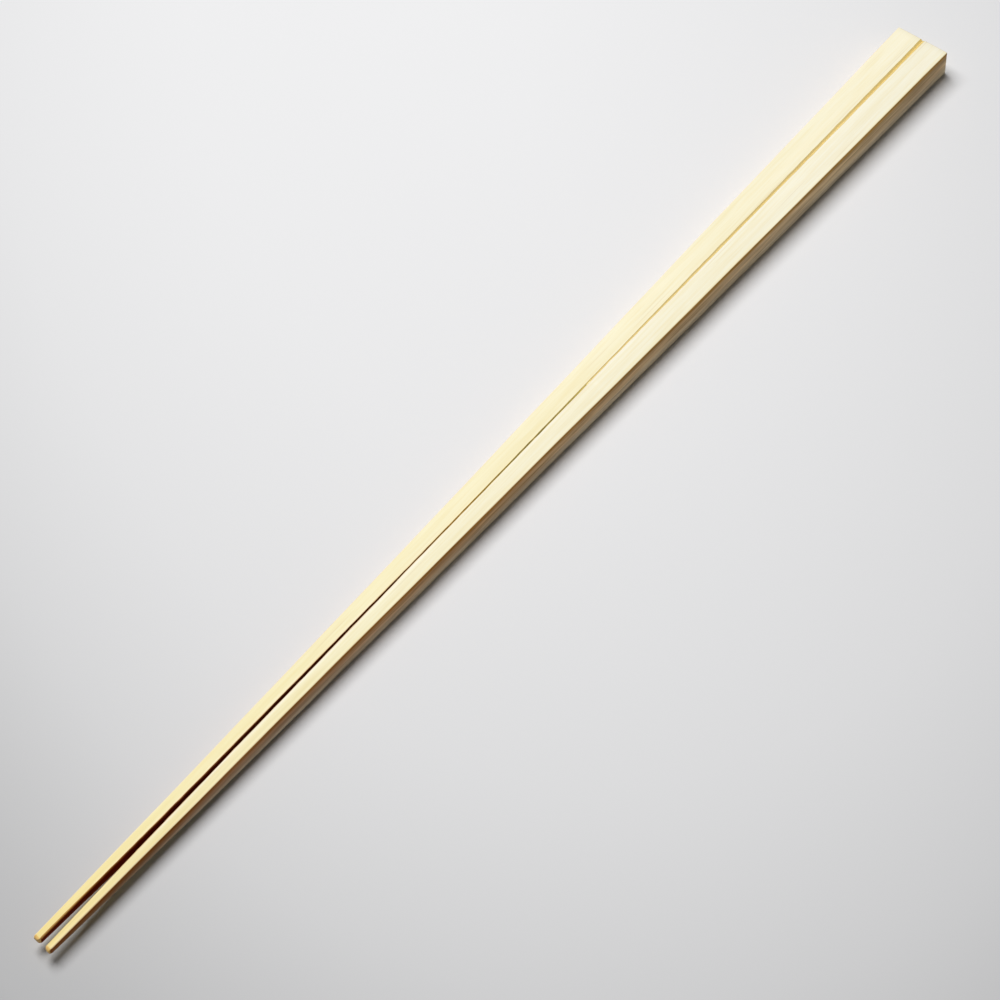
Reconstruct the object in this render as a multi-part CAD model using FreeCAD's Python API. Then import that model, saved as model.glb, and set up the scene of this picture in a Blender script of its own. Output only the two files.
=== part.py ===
import FreeCAD, Part
import math
import os

# Disposable bamboo chopsticks, still joined side by side, in millimetres.
# +X runs from the slim tips to the square head, +Y is to the left seen from the tips, +Z is up.
# The origin is the middle of the underside, which lies on the table.

# Overall size
LENGTH = 240.0
HEAD_THICKNESS = 5.3
TIP_TOP_HEIGHT = 3.3        # top of the tips above the table
TIP_THICKNESS = 1.35
SWEEP_LENGTH = 85.0         # the underside rises off the table over this length behind the tips

# Width across both sticks, evenly spaced from the tips to the head
TIP_WIDTH = 3.75
QUARTER_WIDTH = 5.1
HALF_WIDTH = 6.9
THREE_QUARTER_WIDTH = 8.9
HEAD_WIDTH = 10.5

# Slit between the sticks
TIP_GAP = 1.45
GAP_LENGTH = 93.0           # the gap's two sides meet this far from the tips
KERF = 0.3
SLIT_LENGTH = 103.0         # the saw cut goes right through this far from the tips
SAW_RADIUS = 250.0
SAW_OVERCUT = 0.2           # how far the saw reaches below the underside

# Splitting grooves, upper and lower
GROOVE_LEAD = 4.0           # from the end of the saw cut below to where the grooves begin
GROOVE_HEAD_DEPTH = 0.42
GROOVE_ANGLE = 85.0

# Edges and ends
EDGE_RADIUS = 0.2
TIP_BEVEL = 0.3
TIP_SKEW = 0.7              # the left tip is cut this much shorter than the right one

MARGIN = 1.0                # how far cutting shapes reach past the wood

TIP_X = -LENGTH / 2
HEAD_X = LENGTH / 2


def top_height(x):
    """Height of the flat top face above the table."""
    slope = (HEAD_THICKNESS - TIP_TOP_HEIGHT) / LENGTH
    return TIP_TOP_HEIGHT + slope * (x - TIP_X)


def prism(wire, direction):
    """Solid swept from a closed flat wire along a direction."""
    return Part.Face(wire).extrude(direction)


def polygon(points):
    """Closed wire through the points."""
    return Part.makePolygon(points + points[:1])


def plan_solid():
    """Both sticks seen from above: each long side is one smooth curve."""
    widths = [TIP_WIDTH, QUARTER_WIDTH, HALF_WIDTH, THREE_QUARTER_WIDTH, HEAD_WIDTH]
    step = LENGTH / (len(widths) - 1)
    sides = []
    for way in (1, -1):
        curve = Part.BSplineCurve()
        curve.interpolate([FreeCAD.Vector(TIP_X + i * step, way * w / 2, -MARGIN)
                           for i, w in enumerate(widths)])
        sides.append(curve.toShape())
    left, right = sides
    head = Part.makeLine(left.valueAt(left.LastParameter), right.valueAt(right.LastParameter))
    tips = Part.makeLine(right.valueAt(right.FirstParameter), left.valueAt(left.FirstParameter))
    outline = Part.Wire([left, head, right, tips])
    return prism(outline, FreeCAD.Vector(0, 0, HEAD_THICKNESS + 2 * MARGIN))


def side_solid():
    """Side view: a flat top, a flat base, and an underside that sweeps up to the tips."""
    rise = TIP_TOP_HEIGHT - TIP_THICKNESS
    radius = (SWEEP_LENGTH ** 2 + rise ** 2) / (2 * rise)
    y = -HEAD_WIDTH
    foot = FreeCAD.Vector(TIP_X + SWEEP_LENGTH, y, 0)
    turn = math.asin(SWEEP_LENGTH / radius) / 2
    middle = foot + FreeCAD.Vector(-radius * math.sin(turn), 0, radius * (1 - math.cos(turn)))
    tip_low = FreeCAD.Vector(TIP_X, y, rise)
    tip_high = FreeCAD.Vector(TIP_X, y, TIP_TOP_HEIGHT)
    head_high = FreeCAD.Vector(HEAD_X, y, HEAD_THICKNESS)
    head_low = FreeCAD.Vector(HEAD_X, y, 0)
    sweep = Part.Arc(foot, middle, tip_low).toShape()
    outline = Part.Wire([sweep, Part.makeLine(tip_low, tip_high), Part.makeLine(tip_high, head_high),
                         Part.makeLine(head_high, head_low), Part.makeLine(head_low, foot)])
    return prism(outline, FreeCAD.Vector(0, 2 * HEAD_WIDTH, 0))


def tip_end(y):
    """Where the slanting end cut lies along the sticks, at a distance from their middle line."""
    return TIP_X + TIP_SKEW / TIP_WIDTH * (y + TIP_WIDTH / 2)


def tip_offcut():
    """What is taken off the tips, seen from above: a slanting cut with bevelled corners."""
    outer = TIP_WIDTH / 2
    inner = TIP_GAP / 2
    corners = []
    for way in (-1, 1):
        stick = [(tip_end(way * outer) + TIP_BEVEL + MARGIN, outer + MARGIN),
                 (tip_end(way * (outer - TIP_BEVEL)), outer - TIP_BEVEL),
                 (tip_end(way * (inner + TIP_BEVEL)), inner + TIP_BEVEL),
                 (tip_end(way * inner) + TIP_BEVEL + inner, 0)]
        stick = [FreeCAD.Vector(x, way * y, -MARGIN) for x, y in stick]
        corners += stick[::-way]
    for way in (1, -1):
        corners.append(FreeCAD.Vector(TIP_X - MARGIN, way * (outer + MARGIN), -MARGIN))
    return prism(polygon(corners), FreeCAD.Vector(0, 0, HEAD_THICKNESS + 2 * MARGIN))


def tip_bevel(height, way):
    """Bevel across both end faces, along the upper (way 1) or lower (way -1) edge at a height."""
    side = TIP_WIDTH / 2 + MARGIN
    end_x = tip_end(-side)
    section = [FreeCAD.Vector(end_x - MARGIN, -side, height - way * (TIP_BEVEL + MARGIN)),
               FreeCAD.Vector(end_x + TIP_BEVEL + MARGIN, -side, height + way * MARGIN),
               FreeCAD.Vector(end_x - MARGIN, -side, height + way * MARGIN)]
    return prism(polygon(section), FreeCAD.Vector(tip_end(side) - end_x, 2 * side, 0))


def gap_cut():
    """Wedge between the sticks, widest at the tips."""
    half = TIP_GAP / 2 * (1 + MARGIN / GAP_LENGTH)
    wedge = polygon([FreeCAD.Vector(TIP_X - MARGIN, half, -MARGIN),
                     FreeCAD.Vector(TIP_X - MARGIN, -half, -MARGIN),
                     FreeCAD.Vector(TIP_X + GAP_LENGTH, 0, -MARGIN)])
    return prism(wedge, FreeCAD.Vector(0, 0, HEAD_THICKNESS + 2 * MARGIN))


def saw_cut():
    """Thin cut of a round saw that came down from above and left a curved end."""
    run_in = math.sqrt(SAW_RADIUS ** 2 - (SAW_RADIUS - SAW_OVERCUT) ** 2)
    saw_x = TIP_X + SLIT_LENGTH - run_in
    high = HEAD_THICKNESS + MARGIN
    full_turn = math.acos(1 - (high + SAW_OVERCUT) / SAW_RADIUS)

    def rim(turn):
        """Point on the saw's rim, at a turn from its lowest point towards the head."""
        return FreeCAD.Vector(saw_x + SAW_RADIUS * math.sin(turn), -KERF / 2,
                              SAW_RADIUS * (1 - math.cos(turn)) - SAW_OVERCUT)

    tip_low = FreeCAD.Vector(TIP_X - MARGIN, -KERF / 2, -SAW_OVERCUT)
    tip_high = FreeCAD.Vector(TIP_X - MARGIN, -KERF / 2, high)
    run_out = Part.Arc(rim(0), rim(full_turn / 2), rim(full_turn)).toShape()
    outline = Part.Wire([Part.makeLine(tip_low, rim(0)), run_out, Part.makeLine(rim(full_turn), tip_high),
                         Part.makeLine(tip_high, tip_low)])
    return prism(outline, FreeCAD.Vector(0, KERF, 0))


def groove_cut(upper):
    """V cut that deepens steadily from the slit to the head."""
    start_x = TIP_X + SLIT_LENGTH + GROOVE_LEAD
    slope = GROOVE_HEAD_DEPTH / (HEAD_X - start_x)
    run = HEAD_X - start_x + MARGIN
    if upper:
        start_z = top_height(start_x)
        rise = top_height(HEAD_X + MARGIN) - start_z - slope * run
        way = 1
    else:
        start_z = 0.0
        rise = slope * run
        way = -1
    depth = 2 * GROOVE_HEAD_DEPTH
    half = depth * math.tan(math.radians(GROOVE_ANGLE / 2))
    section = polygon([FreeCAD.Vector(start_x, 0, start_z),
                       FreeCAD.Vector(start_x, half, start_z + way * depth),
                       FreeCAD.Vector(start_x, -half, start_z + way * depth)])
    return prism(section, FreeCAD.Vector(run, 0, rise))


def is_long_outer_edge(edge):
    """A corner edge along one of the outer long sides, above or below."""
    if edge.Length < SWEEP_LENGTH / 2:
        return False
    middle = edge.valueAt((edge.FirstParameter + edge.LastParameter) / 2)
    return abs(middle.y) > TIP_GAP


def build():
    """Both sticks as the one piece of bamboo they still are."""
    body = plan_solid().common(side_solid())
    tips = [tip_offcut(), tip_bevel(TIP_TOP_HEIGHT, 1), tip_bevel(TIP_TOP_HEIGHT - TIP_THICKNESS, -1)]
    middle = [gap_cut(), saw_cut(), groove_cut(True), groove_cut(False)]
    body = body.cut(tips + middle).removeSplitter()
    return body.makeFillet(EDGE_RADIUS, [e for e in body.Edges if is_long_outer_edge(e)])


shape = build()
box = shape.optimalBoundingBox(True, False)
print("solids", len(shape.Solids), "valid", shape.isValid(), "volume", round(shape.Volume, 1))
print("box", box)
os.makedirs("parts", exist_ok=True)
shape.exportStep("parts/chopsticks.step")
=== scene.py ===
import math
import random
import bpy
import bmesh
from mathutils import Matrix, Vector


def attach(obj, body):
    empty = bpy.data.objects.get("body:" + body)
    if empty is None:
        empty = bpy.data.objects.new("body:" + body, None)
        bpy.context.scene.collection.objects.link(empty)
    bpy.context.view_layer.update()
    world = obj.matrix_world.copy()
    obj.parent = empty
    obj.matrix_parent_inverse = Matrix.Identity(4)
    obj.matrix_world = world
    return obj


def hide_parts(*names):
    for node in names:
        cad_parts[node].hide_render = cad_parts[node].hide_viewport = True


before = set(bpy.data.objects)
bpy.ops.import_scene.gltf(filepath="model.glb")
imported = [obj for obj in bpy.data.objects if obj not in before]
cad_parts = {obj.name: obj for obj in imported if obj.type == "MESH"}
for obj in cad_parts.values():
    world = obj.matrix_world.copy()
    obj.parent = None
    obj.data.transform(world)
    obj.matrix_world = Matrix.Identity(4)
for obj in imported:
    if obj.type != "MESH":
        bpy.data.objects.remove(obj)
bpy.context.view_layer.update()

# Chopsticks
# Both sticks are one piece of bamboo, planed flat above and below and sawn along the sides.
# A round saw has slit them apart from the tips to midway, and a V cutter has scored the rest.
# The blank is shaped in millimetres and brought down to metres when it is finished.

# the blank; its widths go across both sticks, in even steps from the tips to the head
LENGTH = 240.0
HEAD_THICKNESS = 5.3
TIP_TOP_HEIGHT = 3.3
TIP_THICKNESS = 1.35
SWEEP_LENGTH = 85.0
WIDTHS = (3.75, 5.1, 6.9, 8.9, 10.5)
TIP_X = -LENGTH / 2
HEAD_X = LENGTH / 2

# the gap between the sticks narrows quickly to its bend and slowly from there to its end
TIP_GAP = 1.45
GAP_BEND = 40.0
BEND_GAP = 0.72
GAP_LENGTH = 88.0
GAP_END = 0.3
GAP_DRIFT = -0.06

# the saw cut, which runs on a little past the gap
KERF = 0.25
SLIT_LENGTH = 103.0
SAW_RADIUS = 250.0
SAW_FACETS = 720
SAW_OVERCUT = 0.2
SAW_DRIFT = 0.015
SAW_TURN = 0.002

# how far the shapes that cut the wood reach past it
PAST_TIPS = 2.0
SAW_PAST_TIPS = 3.0
PAST_HEAD = 1.0
WEDGE_HEIGHT = 12.0
CUT_TOP = 8.0

# the V cuts, each station as its place along the sticks, its depth and its drift to the left;
# a depth below zero is clear of the wood, and the spread widens an even-sided V
CUTTER_RADIUS = 3.0
LIP_SPREAD = 1.73
LIP_STATIONS = ((TIP_X, 0.97, -0.03), (HEAD_X, -3.1, 0.0))
GROOVE_SPREAD = 1.98
TOP_GROOVE_STATIONS = ((TIP_X, -1.0, 0.0), (-20.0, 0.0, 0.0), (26.0, 0.175, 0.13), (HEAD_X, 0.39, 0.01))
BASE_GROOVE_STATIONS = ((TIP_X, -0.28, 0.0), (HEAD_X, 0.42, 0.0))

# the worn ends and edges
TIP_SKEW = 0.7
TIP_ROUNDING = 0.72
TIP_NARROWING = 0.52
TIP_THINNING = 0.6
TIP_STEPS = 7
HEAD_EASING = 0.1
HEAD_STEPS = 2
EDGE_RADIUS = 0.2
EDGE_SEGMENTS = 4

# the small unevenness of sawn and planed wood
SAW_SWAY = 0.02
SWAY_WAVE = 9.0
FINE_SWAY = 0.012
FINE_WAVE = 4.1
CHATTER = 0.006
RIPPLE = 0.008
RIPPLE_WAVE = 6.3
LIP_NUDGES = (0.03, -0.025, 0.015, -0.015)
NUDGED_SHARE = 0.3
LIP_REACH = 0.4
LIP_HEIGHT = 0.04

# how closely the wood is divided, and how near counts as the same place
BLANK_SPACING = 2.5
SLICE_SPACING = 1.25
NEAR = 0.01
WELD = 0.004
SMOOTH_ANGLE = 27
rng = random.Random(4)


def pick(kind, test):
    """Selects only the vertices, edges or faces of the open mesh that pass the test."""
    bpy.ops.mesh.select_mode(type=kind)
    bpy.ops.mesh.select_all(action='DESELECT')
    mesh = bmesh.from_edit_mesh(bpy.context.object.data)
    group = {'VERT': mesh.verts, 'EDGE': mesh.edges, 'FACE': mesh.faces}[kind]
    for item in group:
        if test(item):
            item.select_set(True)
    mesh.select_flush_mode()
    bmesh.update_edit_mesh(bpy.context.object.data)


def is_at(v, x):
    """True for a vertex in the ring at x."""
    return abs(v.co.x - x) < NEAR


def slice_across(x):
    """Cuts a ring of new edges right round the open mesh at x."""
    bpy.ops.mesh.select_all(action='SELECT')
    bpy.ops.mesh.bisect(plane_co=(x, 0, 0), plane_no=(1, 0, 0), threshold=1e-4)


def trim(point, normal, past, threshold):
    """Cuts the open mesh along a plane, throws away what is past or before it, and closes the cut."""
    bpy.ops.mesh.select_all(action='SELECT')
    bpy.ops.mesh.bisect(plane_co=point, plane_no=normal, use_fill=True, clear_inner=not past,
                        clear_outer=past, threshold=threshold)


def settle():
    """Puts the active object's place, turn and scale into its mesh."""
    bpy.ops.object.transform_apply(location=True, rotation=True, scale=True)


def width_at(x):
    """Width across both sticks, smoothed between the measured stations."""
    place = (x - TIP_X) / LENGTH * (len(WIDTHS) - 1)
    i = min(max(int(place), 0), len(WIDTHS) - 2)
    t = place - i
    before = WIDTHS[i - 1] if i > 0 else 2 * WIDTHS[0] - WIDTHS[1]
    after = WIDTHS[i + 2] if i + 2 < len(WIDTHS) else 2 * WIDTHS[-1] - WIDTHS[-2]
    a, b = WIDTHS[i], WIDTHS[i + 1]
    return a + t * (b - before) / 2 + t * t * (before - 2.5 * a + 2 * b - after / 2) \
        + t ** 3 * (1.5 * (a - b) + (after - before) / 2)


def top_at(x):
    """Height of the planed top above the table."""
    return TIP_TOP_HEIGHT + (HEAD_THICKNESS - TIP_TOP_HEIGHT) * (x - TIP_X) / LENGTH


def base_at(x):
    """Height of the underside, which sweeps up off the table behind the tips."""
    along = max(0.0, 1 - (x - TIP_X) / SWEEP_LENGTH)
    return (TIP_TOP_HEIGHT - TIP_THICKNESS) * along ** 2


def gap_at(x):
    """Half the width of the slit between the sticks."""
    along = x - TIP_X
    if along < GAP_BEND:
        return (TIP_GAP + (BEND_GAP - TIP_GAP) * along / GAP_BEND) / 2
    return max(KERF, BEND_GAP + (KERF - BEND_GAP) * (along - GAP_BEND) / (GAP_LENGTH - GAP_BEND)) / 2


def cut_with(body, cutter):
    """Cuts one closed shape out of the body and throws the cutter away."""
    bpy.ops.object.select_all(action='DESELECT')
    bpy.context.view_layer.objects.active = body
    body.select_set(True)
    cut = body.modifiers.new("cut", 'BOOLEAN')
    cut.operation = 'DIFFERENCE'
    cut.solver = 'EXACT'
    cut.object = cutter
    bpy.ops.object.modifier_apply(modifier=cut.name)
    bpy.data.objects.remove(cutter, do_unlink=True)


def round_end(test, outwards, length, inset_y, inset_z, steps):
    """Grows a flat end face outwards in steps that draw in like a quarter round."""
    for step in range(steps):
        pick('FACE', test)
        mesh = bmesh.from_edit_mesh(bpy.context.object.data)
        corners = [v.co.copy() for v in mesh.verts if v.select]
        middle = sum(corners, Vector()) / len(corners)
        half_y = max(abs(c.y - middle.y) for c in corners)
        half_z = max(abs(c.z - middle.z) for c in corners)
        before, after = (math.pi / 2 * k / steps for k in (step, step + 1))
        grow = outwards * length * (math.sin(after) - math.sin(before))
        draw_in = math.cos(before) - math.cos(after)
        scale_y = 1 - inset_y * draw_in / half_y
        scale_x = scale_y if abs(outwards.y) > NEAR else 1
        bpy.ops.mesh.extrude_region_move(TRANSFORM_OT_translate={"value": grow})
        bpy.ops.transform.resize(value=(scale_x, scale_y, 1 - inset_z * draw_in / half_z),
                                 center_override=middle + grow)


# the squared blank, drawn in to its taper station by station
bpy.ops.object.select_all(action='DESELECT')
bpy.ops.mesh.primitive_cube_add(size=1, location=(-HEAD_EASING / 2, 0, HEAD_THICKNESS / 2),
                                scale=(LENGTH - HEAD_EASING, WIDTHS[-1], HEAD_THICKNESS))
sticks = bpy.context.object
sticks.name = "split_bamboo_sticks"
settle()
bpy.ops.object.mode_set(mode='EDIT')
stations = [TIP_X + BLANK_SPACING * i for i in range(round(LENGTH / BLANK_SPACING))]
stations.append(HEAD_X - HEAD_EASING)
for x in stations[1:-1]:
    slice_across(x)
for x in stations:
    pick('VERT', lambda v: is_at(v, x))
    sway = SAW_SWAY * math.sin(x / SWAY_WAVE + 1) + FINE_SWAY * math.sin(x / FINE_WAVE)
    sway += rng.uniform(-CHATTER, CHATTER)
    bpy.ops.transform.resize(value=(1, width_at(x) / WIDTHS[-1], 1), center_override=(x, 0, 0))
    bpy.ops.transform.translate(value=(0, sway, 0))
    pick('VERT', lambda v: is_at(v, x) and v.co.z > HEAD_THICKNESS / 2)
    ripple = RIPPLE * math.sin(x / RIPPLE_WAVE) - RIPPLE
    bpy.ops.transform.translate(value=(0, 0, top_at(x) - HEAD_THICKNESS + ripple))
    if base_at(x) > 0:
        pick('VERT', lambda v: is_at(v, x) and v.co.z < NEAR)
        bpy.ops.transform.translate(value=(0, 0, base_at(x)))

# the four long corners are eased, the head's sharp rim is broken, and the tips are cut on a slant
pick('EDGE', lambda e: abs(e.verts[0].co.x - e.verts[1].co.x) > 0.1)
bpy.ops.mesh.bevel(offset=EDGE_RADIUS, segments=EDGE_SEGMENTS, affect='EDGES', profile=0.5)
round_end(lambda f: f.normal.x > 0.99, Vector((1, 0, 0)),
          HEAD_EASING, HEAD_EASING, HEAD_EASING, HEAD_STEPS)
skew = math.atan2(TIP_SKEW, WIDTHS[0])
end_cut = Vector((-math.cos(skew), math.sin(skew), 0))
trim((TIP_X + TIP_SKEW / 2 + TIP_ROUNDING, 0, 0), -end_cut, past=False, threshold=1e-4)
bpy.ops.object.mode_set(mode='OBJECT')

# the gap between the tips
bpy.ops.object.select_all(action='DESELECT')
wedge_x = TIP_X + (GAP_LENGTH - PAST_TIPS) / 2
bpy.ops.mesh.primitive_cube_add(size=1, location=(wedge_x, 0, CUT_TOP - WEDGE_HEIGHT / 2),
                                scale=(GAP_LENGTH + PAST_TIPS, 1, WEDGE_HEIGHT))
wedge = bpy.context.object
settle()
bpy.ops.object.mode_set(mode='EDIT')
slice_across(TIP_X + GAP_BEND)
for x, width, drift in ((TIP_X - PAST_TIPS, 2 * gap_at(TIP_X - PAST_TIPS), 0),
                        (TIP_X + GAP_BEND, BEND_GAP, GAP_DRIFT),
                        (TIP_X + GAP_LENGTH, GAP_END, GAP_DRIFT)):
    pick('VERT', lambda v: is_at(v, x))
    bpy.ops.transform.resize(value=(1, width, 1), center_override=(x, 0, 0))
    bpy.ops.transform.translate(value=(0, drift, 0))
bpy.ops.object.mode_set(mode='OBJECT')
cut_with(sticks, wedge)

# each tip is rubbed round
bpy.ops.object.mode_set(mode='EDIT')
for side in (1, -1):
    round_end(lambda f: f.normal.dot(end_cut) > 0.99 and f.calc_center_median().y * side > 0,
              end_cut, TIP_ROUNDING, TIP_NARROWING, TIP_THINNING, TIP_STEPS)
bpy.ops.object.mode_set(mode='OBJECT')

# the saw cut: the round end of a thin disc that came down from above, drawn out past the tips
run_in = math.sqrt(SAW_RADIUS ** 2 - (SAW_RADIUS - SAW_OVERCUT) ** 2)
saw_x = TIP_X + SLIT_LENGTH - run_in
bpy.ops.object.select_all(action='DESELECT')
bpy.ops.mesh.primitive_cylinder_add(vertices=SAW_FACETS, radius=SAW_RADIUS, depth=KERF,
                                    location=(saw_x, SAW_DRIFT, SAW_RADIUS - SAW_OVERCUT),
                                    rotation=(math.pi / 2, 0, 0))
saw = bpy.context.object
settle()
bpy.ops.object.mode_set(mode='EDIT')
trim((saw_x, 0, 0), (1, 0, 0), past=False, threshold=1e-5)
trim((0, 0, CUT_TOP), (0, 0, 1), past=True, threshold=1e-5)
pick('FACE', lambda f: f.normal.x < -0.9)
bpy.ops.mesh.extrude_region_move(TRANSFORM_OT_translate={"value": (TIP_X - SAW_PAST_TIPS - saw_x, 0, 0)})
bpy.ops.object.mode_set(mode='OBJECT')
saw.rotation_euler = (0, 0, SAW_TURN)
settle()
cut_with(sticks, saw)


def score(above, spread, stations):
    """Draws a V cutter along the sticks from the tips to the head, above or below them."""
    way = 1 if above else -1
    bpy.ops.object.select_all(action='DESELECT')
    bpy.ops.mesh.primitive_cylinder_add(vertices=3, radius=CUTTER_RADIUS, depth=LENGTH,
                                        location=(0, 0, 0), rotation=(0, math.pi / 2, 0))
    cutter = bpy.context.object
    settle()
    cutter.rotation_euler = (-way * math.pi / 2, 0, 0)
    settle()
    bpy.ops.object.mode_set(mode='EDIT')
    bpy.ops.mesh.select_all(action='SELECT')
    bpy.ops.transform.translate(value=(0, 0, way * CUTTER_RADIUS))
    bpy.ops.transform.resize(value=(1, spread, 1), center_override=(0, 0, 0))
    for x, _, _ in stations:
        slice_across(x)
    for x, depth, drift in stations:
        pick('VERT', lambda v: is_at(v, x))
        reach = {TIP_X: -PAST_TIPS, HEAD_X: PAST_HEAD}.get(x, 0.0)
        level = top_at(x) - depth if above else depth
        bpy.ops.transform.translate(value=(reach, drift, level))
    bpy.ops.object.mode_set(mode='OBJECT')
    cut_with(sticks, cutter)


# the slit's upper lips are eased, and a groove above and below deepens towards the head
score(True, LIP_SPREAD, LIP_STATIONS)
score(True, GROOVE_SPREAD, TOP_GROOVE_STATIONS)
score(False, GROOVE_SPREAD, BASE_GROOVE_STATIONS)

# the whole length is sliced finely, and the slit's and groove's lips are left a little ragged
bpy.ops.object.mode_set(mode='EDIT')
bpy.ops.mesh.select_all(action='SELECT')
bpy.ops.mesh.remove_doubles(threshold=WELD)
rings = round(LENGTH / SLICE_SPACING)
for i in range(1, rings):
    slice_across(TIP_X + SLICE_SPACING * i)


def on_lip(v):
    """True for a vertex on the upper or lower edge of the slit or the groove."""
    if not TIP_X + 3 < v.co.x < HEAD_X - 1 or abs(v.co.y) > gap_at(v.co.x) + LIP_REACH:
        return False
    return abs(v.co.z - top_at(v.co.x)) < LIP_HEIGHT or abs(v.co.z - base_at(v.co.x)) < LIP_HEIGHT


def lip_place(v):
    """The ring that a vertex is nearest to, whether it is on the left, and whether it is above."""
    ring = round((v.co.x - TIP_X) / SLICE_SPACING)
    return ring, v.co.y > NEAR, v.co.z > (top_at(v.co.x) + base_at(v.co.x)) / 2


# the draws go by place, because the cuts leave the vertices in another order on each run
lip_places = [(i, left, above) for i in range(rings) for left in (False, True) for above in (False, True)]
for nudge in LIP_NUDGES:
    nudged = {place for place in lip_places if rng.random() < NUDGED_SHARE}
    pick('VERT', lambda v: on_lip(v) and lip_place(v) in nudged)
    bpy.ops.transform.translate(value=(0, nudge, 0))


def add_node(tree, kind, inputs=None, **settings):
    """Adds a node with its own settings; its inputs get a value or the output of another node."""
    node = tree.nodes.new(kind)
    for name, value in settings.items():
        setattr(node, name, value)
    for name, value in (inputs or {}).items():
        if isinstance(value, bpy.types.NodeSocket):
            tree.links.new(value, node.inputs[name])
        else:
            node.inputs[name].default_value = value
    return node


def calculate(tree, operation, a, b=0.0):
    return add_node(tree, 'ShaderNodeMath', {0: a, 1: b}, operation=operation).outputs[0]


def multiply(tree, a, b):
    return calculate(tree, 'MULTIPLY', a, b)


def remap(tree, value, low, high, to_low=0.0, to_high=1.0):
    return add_node(tree, 'ShaderNodeMapRange', {"Value": value, "From Min": low, "From Max": high,
                                                 "To Min": to_low, "To Max": to_high}).outputs[0]


def blend_colours(tree, share, a, b):
    return add_node(tree, 'ShaderNodeMix', {0: share, 6: a, 7: b}, data_type='RGBA').outputs[2]


def shaded(tree, colour, share, towards):
    """The same colour taken a share of the way towards another."""
    return blend_colours(tree, share, colour, (*towards, 1))


def set_stops(ramp, tones):
    """Gives a colour ramp its stops, each a position and a colour."""
    stops = ramp.color_ramp.elements
    while len(stops) < len(tones):
        stops.new(0.5)
    for stop, (position, colour) in zip(stops, tones):
        stop.position = position
        stop.color = (*colour, 1)


def drawn_out(tree, place, long, across):
    """The place on the sticks counted in lengths of a fibre pattern, with its sizes in millimetres."""
    scale = (1000 / long, 1000 / across, 1000 / across)
    return add_node(tree, 'ShaderNodeMapping', {"Vector": place, "Scale": scale}).outputs[0]


def fibre_noise(tree, place, long, across, detail):
    """Noise drawn out along the fibres."""
    stretched = drawn_out(tree, place, long, across)
    return add_node(tree, 'ShaderNodeTexNoise', {"Vector": stretched, "Scale": 1.0, "Detail": detail,
                                                 "Roughness": 0.55}).outputs["Fac"]


# the wood itself: soft fibre streaks, hair-fine lines, and darker strands that show as dots on a cut end
grain = bpy.data.node_groups.new("bamboo_grain", 'ShaderNodeTree')
for name, kind in (("Place", 'NodeSocketVector'), ("Wood", 'NodeSocketColor'),
                   ("Fibre", 'NodeSocketColor'), ("Strand", 'NodeSocketColor'),
                   ("Streaks", 'NodeSocketFloat'), ("Strands", 'NodeSocketFloat')):
    grain.interface.new_socket(name, in_out='INPUT', socket_type=kind)
for name, kind in (("Colour", 'NodeSocketColor'), ("Roughness", 'NodeSocketFloat'),
                   ("Height", 'NodeSocketFloat')):
    grain.interface.new_socket(name, in_out='OUTPUT', socket_type=kind)
given = grain.nodes.new('NodeGroupInput').outputs
broad = fibre_noise(grain, given["Place"], 45, 2.5, 2.0)
streak = fibre_noise(grain, given["Place"], 12, 0.45, 3.0)
hair = fibre_noise(grain, given["Place"], 6, 0.11, 2.0)
strand = add_node(grain, 'ShaderNodeTexVoronoi', {"Vector": drawn_out(grain, given["Place"], 34, 0.75),
                                                  "Scale": 1.0, "Randomness": 0.9}).outputs["Distance"]
strand = remap(grain, strand, 0.22, 0.1)
streak_share = multiply(grain, remap(grain, streak, 0.4, 0.68), given["Streaks"])
hair_share = multiply(grain, remap(grain, hair, 0.42, 0.75), given["Streaks"])
tone = blend_colours(grain, streak_share, given["Wood"], given["Fibre"])
tone = blend_colours(grain, multiply(grain, hair_share, 0.6), tone, given["Fibre"])
tone = blend_colours(grain, multiply(grain, strand, given["Strands"]), tone, given["Strand"])
tone = add_node(grain, 'ShaderNodeHueSaturation', {
    "Color": tone, "Value": remap(grain, broad, 0.3, 0.7, 0.975, 1.02),
    "Saturation": remap(grain, broad, 0.3, 0.7, 1.08, 0.94)}).outputs[0]
height = calculate(grain, 'ADD', multiply(grain, streak, 0.6), multiply(grain, hair, 0.4))
height = calculate(grain, 'SUBTRACT', height, multiply(grain, strand, 0.2))
add_node(grain, 'NodeGroupOutput', {"Colour": tone, "Height": height,
                                    "Roughness": remap(grain, streak, 0.3, 0.7, 0.42, 0.6)})


def axis_of(tree, vector, axis):
    """One of the three numbers of a place or a direction."""
    return add_node(tree, 'ShaderNodeSeparateXYZ', {"Vector": vector}).outputs[axis]


def start_finish(name):
    """A new material with its place on the sticks in metres, and the part of it that runs along them."""
    finish = bpy.data.materials.new(name)
    finish.use_nodes = True
    tree = finish.node_tree
    place = add_node(tree, 'ShaderNodeTexCoord').outputs["Object"]
    return finish, tree, place, axis_of(tree, place, "X")


def facing(tree, axis):
    """How far the surface faces along one axis, from -1 to 1."""
    return axis_of(tree, add_node(tree, 'ShaderNodeTexCoord').outputs["Normal"], axis)


def below_top(tree, place):
    """Depth under the sloping top, in metres."""
    slope = (HEAD_THICKNESS - TIP_TOP_HEIGHT) / LENGTH
    level = add_node(tree, 'ShaderNodeVectorMath', {0: place, 1: (slope, 0.0, -1.0)},
                     operation='DOT_PRODUCT').outputs["Value"]
    return calculate(tree, 'ADD', level, top_at(0.0) / 1000)


def along_sticks(tree, x, tones):
    """Colour that changes from the tips, 0, to the head, 1."""
    ramp = add_node(tree, 'ShaderNodeValToRGB', {"Fac": remap(tree, x, TIP_X / 1000, HEAD_X / 1000)})
    set_stops(ramp, tones)
    return ramp.outputs["Color"]


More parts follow.
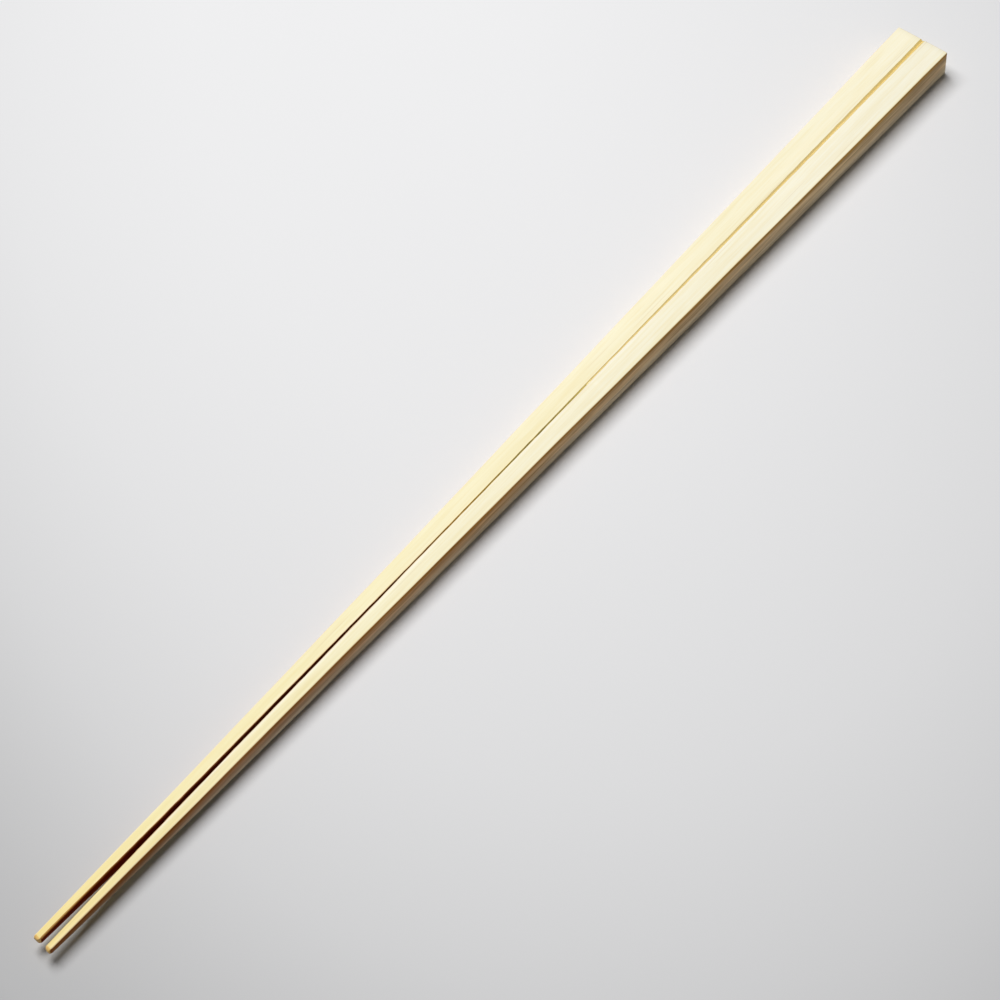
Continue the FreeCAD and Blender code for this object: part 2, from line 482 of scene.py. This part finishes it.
def amount_along(tree, x, amounts):
    """Number from 0 to 1 that changes from the tips to the head."""
    return along_sticks(tree, x, [(position, (amount,) * 3) for position, amount in amounts])


def end_finish(tree, place, wood, fibre, strand, streaks, strands, relief, shine=0.4):
    """Lays the grain over a colour and joins it to the material's shader."""
    shader = tree.nodes["Principled BSDF"]
    shader.inputs["Specular IOR Level"].default_value = shine
    laid = add_node(tree, 'ShaderNodeGroup', {"Place": place, "Wood": wood, "Fibre": fibre,
                                              "Strand": strand, "Streaks": streaks,
                                              "Strands": strands}, node_tree=grain)
    bump = add_node(tree, 'ShaderNodeBump', {"Height": laid.outputs["Height"], "Strength": relief,
                                             "Distance": 0.00006})
    tree.links.new(laid.outputs["Colour"], shader.inputs["Base Color"])
    tree.links.new(laid.outputs["Roughness"], shader.inputs["Roughness"])
    tree.links.new(bump.outputs["Normal"], shader.inputs["Normal"])


# the planed upper and lower faces: pale at the head, more golden towards the tips
planed_face, tree, place, x = start_finish("planed_face")
y = axis_of(tree, place, "Y")
wood = along_sticks(tree, x, [(0.0, (0.88, 0.71, 0.27)), (0.13, (0.87, 0.775, 0.41)),
                              (0.3, (0.915, 0.845, 0.54)), (0.55, (0.94, 0.875, 0.61)),
                              (1.0, (0.955, 0.91, 0.71))])
right_stick = multiply(tree, remap(tree, y, 0.0002, -0.0002), remap(tree, x, -0.09, 0.0, 0.0, 0.3))
wood = shaded(tree, wood, right_stick, (0.99, 0.975, 0.88))

# the slit's lips carry a painted highlight, white on the right stick and yellow on the left, and turn
# browner at the very edge; from_slit is in millimetres
slit_middle = remap(tree, x, -0.035, 0.02, -0.000055, 0.000055)
from_slit = calculate(tree, 'ABSOLUTE', calculate(tree, 'SUBTRACT', y, slit_middle))
half_gap = amount_along(tree, x, [(0.0, TIP_GAP / 2), (GAP_BEND / LENGTH, BEND_GAP / 2),
                                  (GAP_LENGTH / LENGTH, GAP_END / 2), (0.37, KERF / 2)])
from_slit = calculate(tree, 'SUBTRACT', multiply(tree, from_slit, 1000), half_gap)
# painted highlight: the face is made paler in a narrow line along each lip
lip_highlight_share = multiply(tree, remap(tree, from_slit, 0.6, 0.1), remap(tree, x, -0.11, -0.09, 0.0, 0.6))
on_left = remap(tree, y, -0.0001, 0.0001)
lip_highlight = blend_colours(tree, on_left, (0.99, 0.98, 0.91, 1), (1.0, 0.94, 0.66, 1))
wood = blend_colours(tree, lip_highlight_share, wood, lip_highlight)
# browner in a hair-fine line at the slit's very edge
edge_brown = along_sticks(tree, x, [(0.0, (0.75, 0.42, 0.13)), (0.33, (0.62, 0.27, 0.06)),
                               (0.43, (0.84, 0.62, 0.2))])
edge_brown_share = multiply(tree, remap(tree, from_slit, 0.14, 0.03, 0.0, 0.8),
                       remap(tree, x, 0.018, 0.026, 1.0, 0.0))
wood = blend_colours(tree, edge_brown_share, wood, edge_brown)

# the right-hand rim carries a warmer gold painted highlight; half_width is in centimetres, because a
# ramp's numbers end at 1
half_width = amount_along(tree, x, [(i / (len(WIDTHS) - 1), width / 20) for i, width in enumerate(WIDTHS)])
inside_rim = calculate(tree, 'ADD', multiply(tree, half_width, 0.01), y)
# painted highlight colour along the right-hand rim
rim_highlight = along_sticks(tree, x, [(0.0, (0.98, 0.8, 0.38)), (0.3, (1.0, 0.92, 0.58)), (0.6, (1.0, 0.95, 0.68))])
wood = blend_colours(tree, remap(tree, inside_rim, 0.0007, 0.0003, 0.0, 0.75), wood, rim_highlight)
end_finish(tree, place, wood, fibre=shaded(tree, wood, 0.45, (0.86, 0.68, 0.26)),
           strand=shaded(tree, wood, 0.7, (0.62, 0.42, 0.17)), streaks=0.55, strands=0.25, relief=0.35)

# the eased long corners: brown where they turn down, and paler where they face up, a painted highlight
eased_edge, tree, place, x = start_finish("eased_edge")
wood = along_sticks(tree, x, [(0.0, (1.0, 0.6, 0.18)), (0.3, (0.86, 0.5, 0.15)),
                              (1.0, (0.85, 0.56, 0.18))])
# painted highlight: paler where the corner faces up
wood = shaded(tree, wood, remap(tree, facing(tree, "Z"), 0.6, 0.88), (0.99, 0.94, 0.7))
end_finish(tree, place, wood, fibre=shaded(tree, wood, 0.4, (0.7, 0.4, 0.12)), strand=(0.5, 0.3, 0.1, 1),
           streaks=0.4, strands=0.2, relief=0.3, shine=0.1)

# the sawn outer sides: browner towards the tips, with a painted shade band under the upper corner and
# painted bounce light from the table that makes the foot paler and less streaked
sawn_side, tree, place, x = start_finish("sawn_side")
z = axis_of(tree, place, "Z")
wood = along_sticks(tree, x, [(0.0, (0.40, 0.17, 0.075)), (0.13, (0.50, 0.25, 0.12)),
                              (0.3, (0.74, 0.43, 0.22)), (0.6, (0.85, 0.59, 0.31)),
                              (0.78, (0.97, 0.72, 0.41)), (1.0, (1.0, 0.75, 0.43))])
upper_shade_band = along_sticks(tree, x, [(0.0, (0.44, 0.125, 0.012)), (0.3, (0.56, 0.20, 0.01)),
                              (0.55, (0.52, 0.22, 0.01)), (1.0, (0.74, 0.35, 0.01))])
# painted bounce light from the table: paler towards the foot
wood = shaded(tree, wood, remap(tree, z, 0.0024, 0.0004, 0.0, 0.8), (1.0, 0.9, 0.66))
# painted shade in a band under the upper corner
wood = blend_colours(tree, remap(tree, below_top(tree, place), 0.0002, 0.0014, 0.95, 0.0), wood, upper_shade_band)
coarse = add_node(tree, 'ShaderNodeMapping', {"Vector": place, "Scale": (0.6, 1.0, 0.65)}).outputs[0]
# the dark streaks thin out towards the foot, part of the painted bounce light
end_finish(tree, coarse, wood, fibre=shaded(tree, wood, 0.58, (0.14, 0.045, 0.008)),
           strand=shaded(tree, wood, 0.6, (0.08, 0.025, 0.006)),
           streaks=remap(tree, z, 0.0024, 0.0006, 0.95, 0.5), strands=0.5, relief=0.8, shine=0.02)

# the saw cut's inner walls, darkest of all except at the saw's run-out and near their upper lips, where a
# painted light makes them golden
slit_wall, tree, place, x = start_finish("slit_wall")
wood = along_sticks(tree, x, [(0.0, (0.3, 0.05, 0.01)), (0.2, (0.25, 0.04, 0.008)),
                              (0.32, (0.3, 0.07, 0.015)), (0.38, (0.5, 0.24, 0.07)),
                              (0.43, (0.93, 0.74, 0.32)), (0.5, (0.99, 0.94, 0.55))])
# painted light on the upper part of the wall, near the lip
painted_lip_light = multiply(tree, remap(tree, below_top(tree, place), 0.0002, 0.0006, 1.0, 0.0),
                    remap(tree, x, -0.085, -0.055, 1.0, 0.15))
wood = shaded(tree, wood, painted_lip_light, (1.0, 0.55, 0.17))
end_finish(tree, place, wood, fibre=shaded(tree, wood, 0.5, (0.02, 0.006, 0.002)),
           strand=(0.02, 0.008, 0.003, 1), streaks=0.5, strands=0.3, relief=0.7, shine=0.0)

# the V groove's walls: a clear gold; the right stick's wall, which faces left towards the lamp, is duller,
# a painted shade that evens out its light
groove_wall, tree, place, x = start_finish("groove_wall")
wood = along_sticks(tree, x, [(0.0, (0.8, 0.44, 0.12)), (0.3, (0.8, 0.5, 0.17)),
                              (0.45, (0.85, 0.62, 0.22)), (0.6, (0.97, 0.78, 0.38)),
                              (0.7, (1.0, 0.83, 0.42)), (1.0, (1.0, 0.79, 0.32))])
# painted shade on the groove wall that faces the lamp
wood = shaded(tree, wood, remap(tree, facing(tree, "Y"), -0.1, 0.1, 0.0, 0.9), (0.71, 0.58, 0.26))
end_finish(tree, place, wood, fibre=shaded(tree, wood, 0.5, (0.6, 0.36, 0.1)), strand=(0.4, 0.22, 0.06, 1),
           streaks=0.25, strands=0.15, relief=0.6, shine=0.2)

# the cut ends, where the strands show as dots; the tips are warm and bright, partly their own tone and
# partly painted light on the ends
end_grain, tree, place, x = start_finish("end_grain")
# painted light on the ends makes up part of the tips' warm, bright colour
wood = along_sticks(tree, x, [(0.0, (1.0, 0.64, 0.2)), (0.5, (0.9, 0.8, 0.5)), (1.0, (0.8, 0.66, 0.38))])
end_finish(tree, place, wood, fibre=shaded(tree, wood, 0.5, (0.6, 0.35, 0.12)),
           strand=(0.33, 0.18, 0.07, 1), streaks=0.7, strands=0.85, relief=0.8)


def is_inner(f):
    """True for a face inside the slit or the grooves."""
    c = f.calc_center_median()
    return abs(c.y) < min(0.55 * width_at(c.x) / 2, gap_at(c.x) + 0.6) and abs(f.normal.z) < 0.9


def is_saw_floor(f):
    """True for the curved floor that the saw left at the end of the slit."""
    c = f.calc_center_median()
    return abs(c.y) < KERF / 2 and NEAR < top_at(c.x) - c.z and c.z > NEAR and f.normal.z > 0.9


FINISHES = (
    (planed_face, lambda f: True),
    (sawn_side, lambda f: abs(f.normal.y) > 0.75 and abs(f.normal.x) < 0.5),
    (eased_edge, lambda f: 0.3 < abs(f.normal.z) < 0.95 and abs(f.normal.y) > 0.3 and not is_inner(f)),
    (slit_wall, lambda f: is_saw_floor(f) or is_inner(f) and abs(f.normal.z) < 0.2),
    (groove_wall, lambda f: is_inner(f) and 0.2 < abs(f.normal.z)),
    (end_grain, lambda f: abs(f.normal.x) > 0.35),
)
for slot, (finish, test) in enumerate(FINISHES):
    sticks.data.materials.append(finish)
    pick('FACE', test)
    sticks.active_material_index = slot
    bpy.ops.object.material_slot_assign()
bpy.ops.object.mode_set(mode='OBJECT')

sticks.scale = (0.001, 0.001, 0.001)
settle()
bpy.ops.object.shade_smooth_by_angle(angle=math.radians(SMOOTH_ANGLE))

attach(sticks, "root")
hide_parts("chopsticks")

# Table
# A sheet of plain pale paper, laid flat on a table under the sticks and far wider than they are.
# Its colour holds a painted pool of light: pale round the sticks, falling off to grey further out.
TABLE_SIZE = 6.0
POOL_PLACE = (0.082, 0.0625, 0)
POOL_TURN = -45.1
POOL_SIZE = (0.1176, 0.2093, 1)
POOL_EDGE = 1.3
POOL_LIGHT_SHADES = ((0.0, 0.82), (0.385, 0.79), (0.615, 0.735), (0.77, 0.645), (0.885, 0.53), (0.98, 0.45))
PAPER_BLUE = 1.01
bpy.ops.object.select_all(action='DESELECT')
bpy.ops.mesh.primitive_plane_add(size=TABLE_SIZE, location=(0, 0, 0))
table = bpy.context.object
table.name = "table"
paper = bpy.data.materials.new("table_paper_painted_light")
paper.use_nodes = True
tree = paper.node_tree
place = add_node(tree, 'ShaderNodeTexCoord').outputs["Object"]
in_pool = add_node(tree, 'ShaderNodeMapping', {
    "Vector": place, "Location": POOL_PLACE, "Rotation": (0, 0, math.radians(POOL_TURN)),
    "Scale": POOL_SIZE}, vector_type='TEXTURE').outputs[0]
away = add_node(tree, 'ShaderNodeVectorMath', {0: in_pool}, operation='LENGTH').outputs["Value"]
# painted pool of light on the paper, fading with distance from the sticks
pool = add_node(tree, 'ShaderNodeValToRGB', {"Fac": calculate(tree, 'DIVIDE', away, POOL_EDGE)})
pool.color_ramp.interpolation = 'B_SPLINE'
set_stops(pool, [(position, (shade, shade, shade * PAPER_BLUE)) for position, shade in POOL_LIGHT_SHADES])
tree.links.new(pool.outputs["Color"], tree.nodes["Principled BSDF"].inputs["Base Color"])
tree.nodes["Principled BSDF"].inputs["Roughness"].default_value = 0.7
table.data.materials.append(paper)

# Light
# One square softbox hangs high over the far side of the table and faces the sticks.
# Pale walls all round the room send back a faint, even light.
LAMP_PLACE = Vector((0.0654, 0.465, 1.104))
LAMP_SIZE = 0.8
LAMP_WATTS = 16.5
ROOM_STRENGTH = 0.07
bpy.ops.object.light_add(type='AREA', location=LAMP_PLACE)
key = bpy.context.object
key.name = "softbox"
key.data.shape = 'SQUARE'
key.data.size = LAMP_SIZE
key.data.energy = LAMP_WATTS
key.rotation_euler = LAMP_PLACE.to_track_quat('Z', 'Y').to_euler()
room = bpy.data.worlds.new("room")
room.use_nodes = True
room.node_tree.nodes["Background"].inputs["Color"].default_value = (1, 1, 1, 1)
room.node_tree.nodes["Background"].inputs["Strength"].default_value = ROOM_STRENGTH
bpy.context.scene.world = room

# Camera
# A long lens on a tall stand, beyond the tips and to their right, looking down across the sticks.
# Its place and turn are fitted to the sticks' edges in the photograph.
LENS = 163.81
SENSOR_WIDTH = 36.0
CAMERA_PLACE = (-0.3785, -0.28696, 0.59124)
CAMERA_TILT = 38.4437
CAMERA_TURN = -52.5187
camera_data = bpy.data.cameras.new("camera")
camera_data.sensor_width = SENSOR_WIDTH
camera_data.lens = LENS
camera_data.clip_start = 0.01
camera_data.clip_end = 20
camera = bpy.data.objects.new("camera", camera_data)
bpy.context.collection.objects.link(camera)
camera.location = CAMERA_PLACE
camera.rotation_euler = (math.radians(CAMERA_TILT), 0, math.radians(CAMERA_TURN))
bpy.context.scene.camera = camera

bpy.context.scene.view_settings.view_transform = 'Standard'
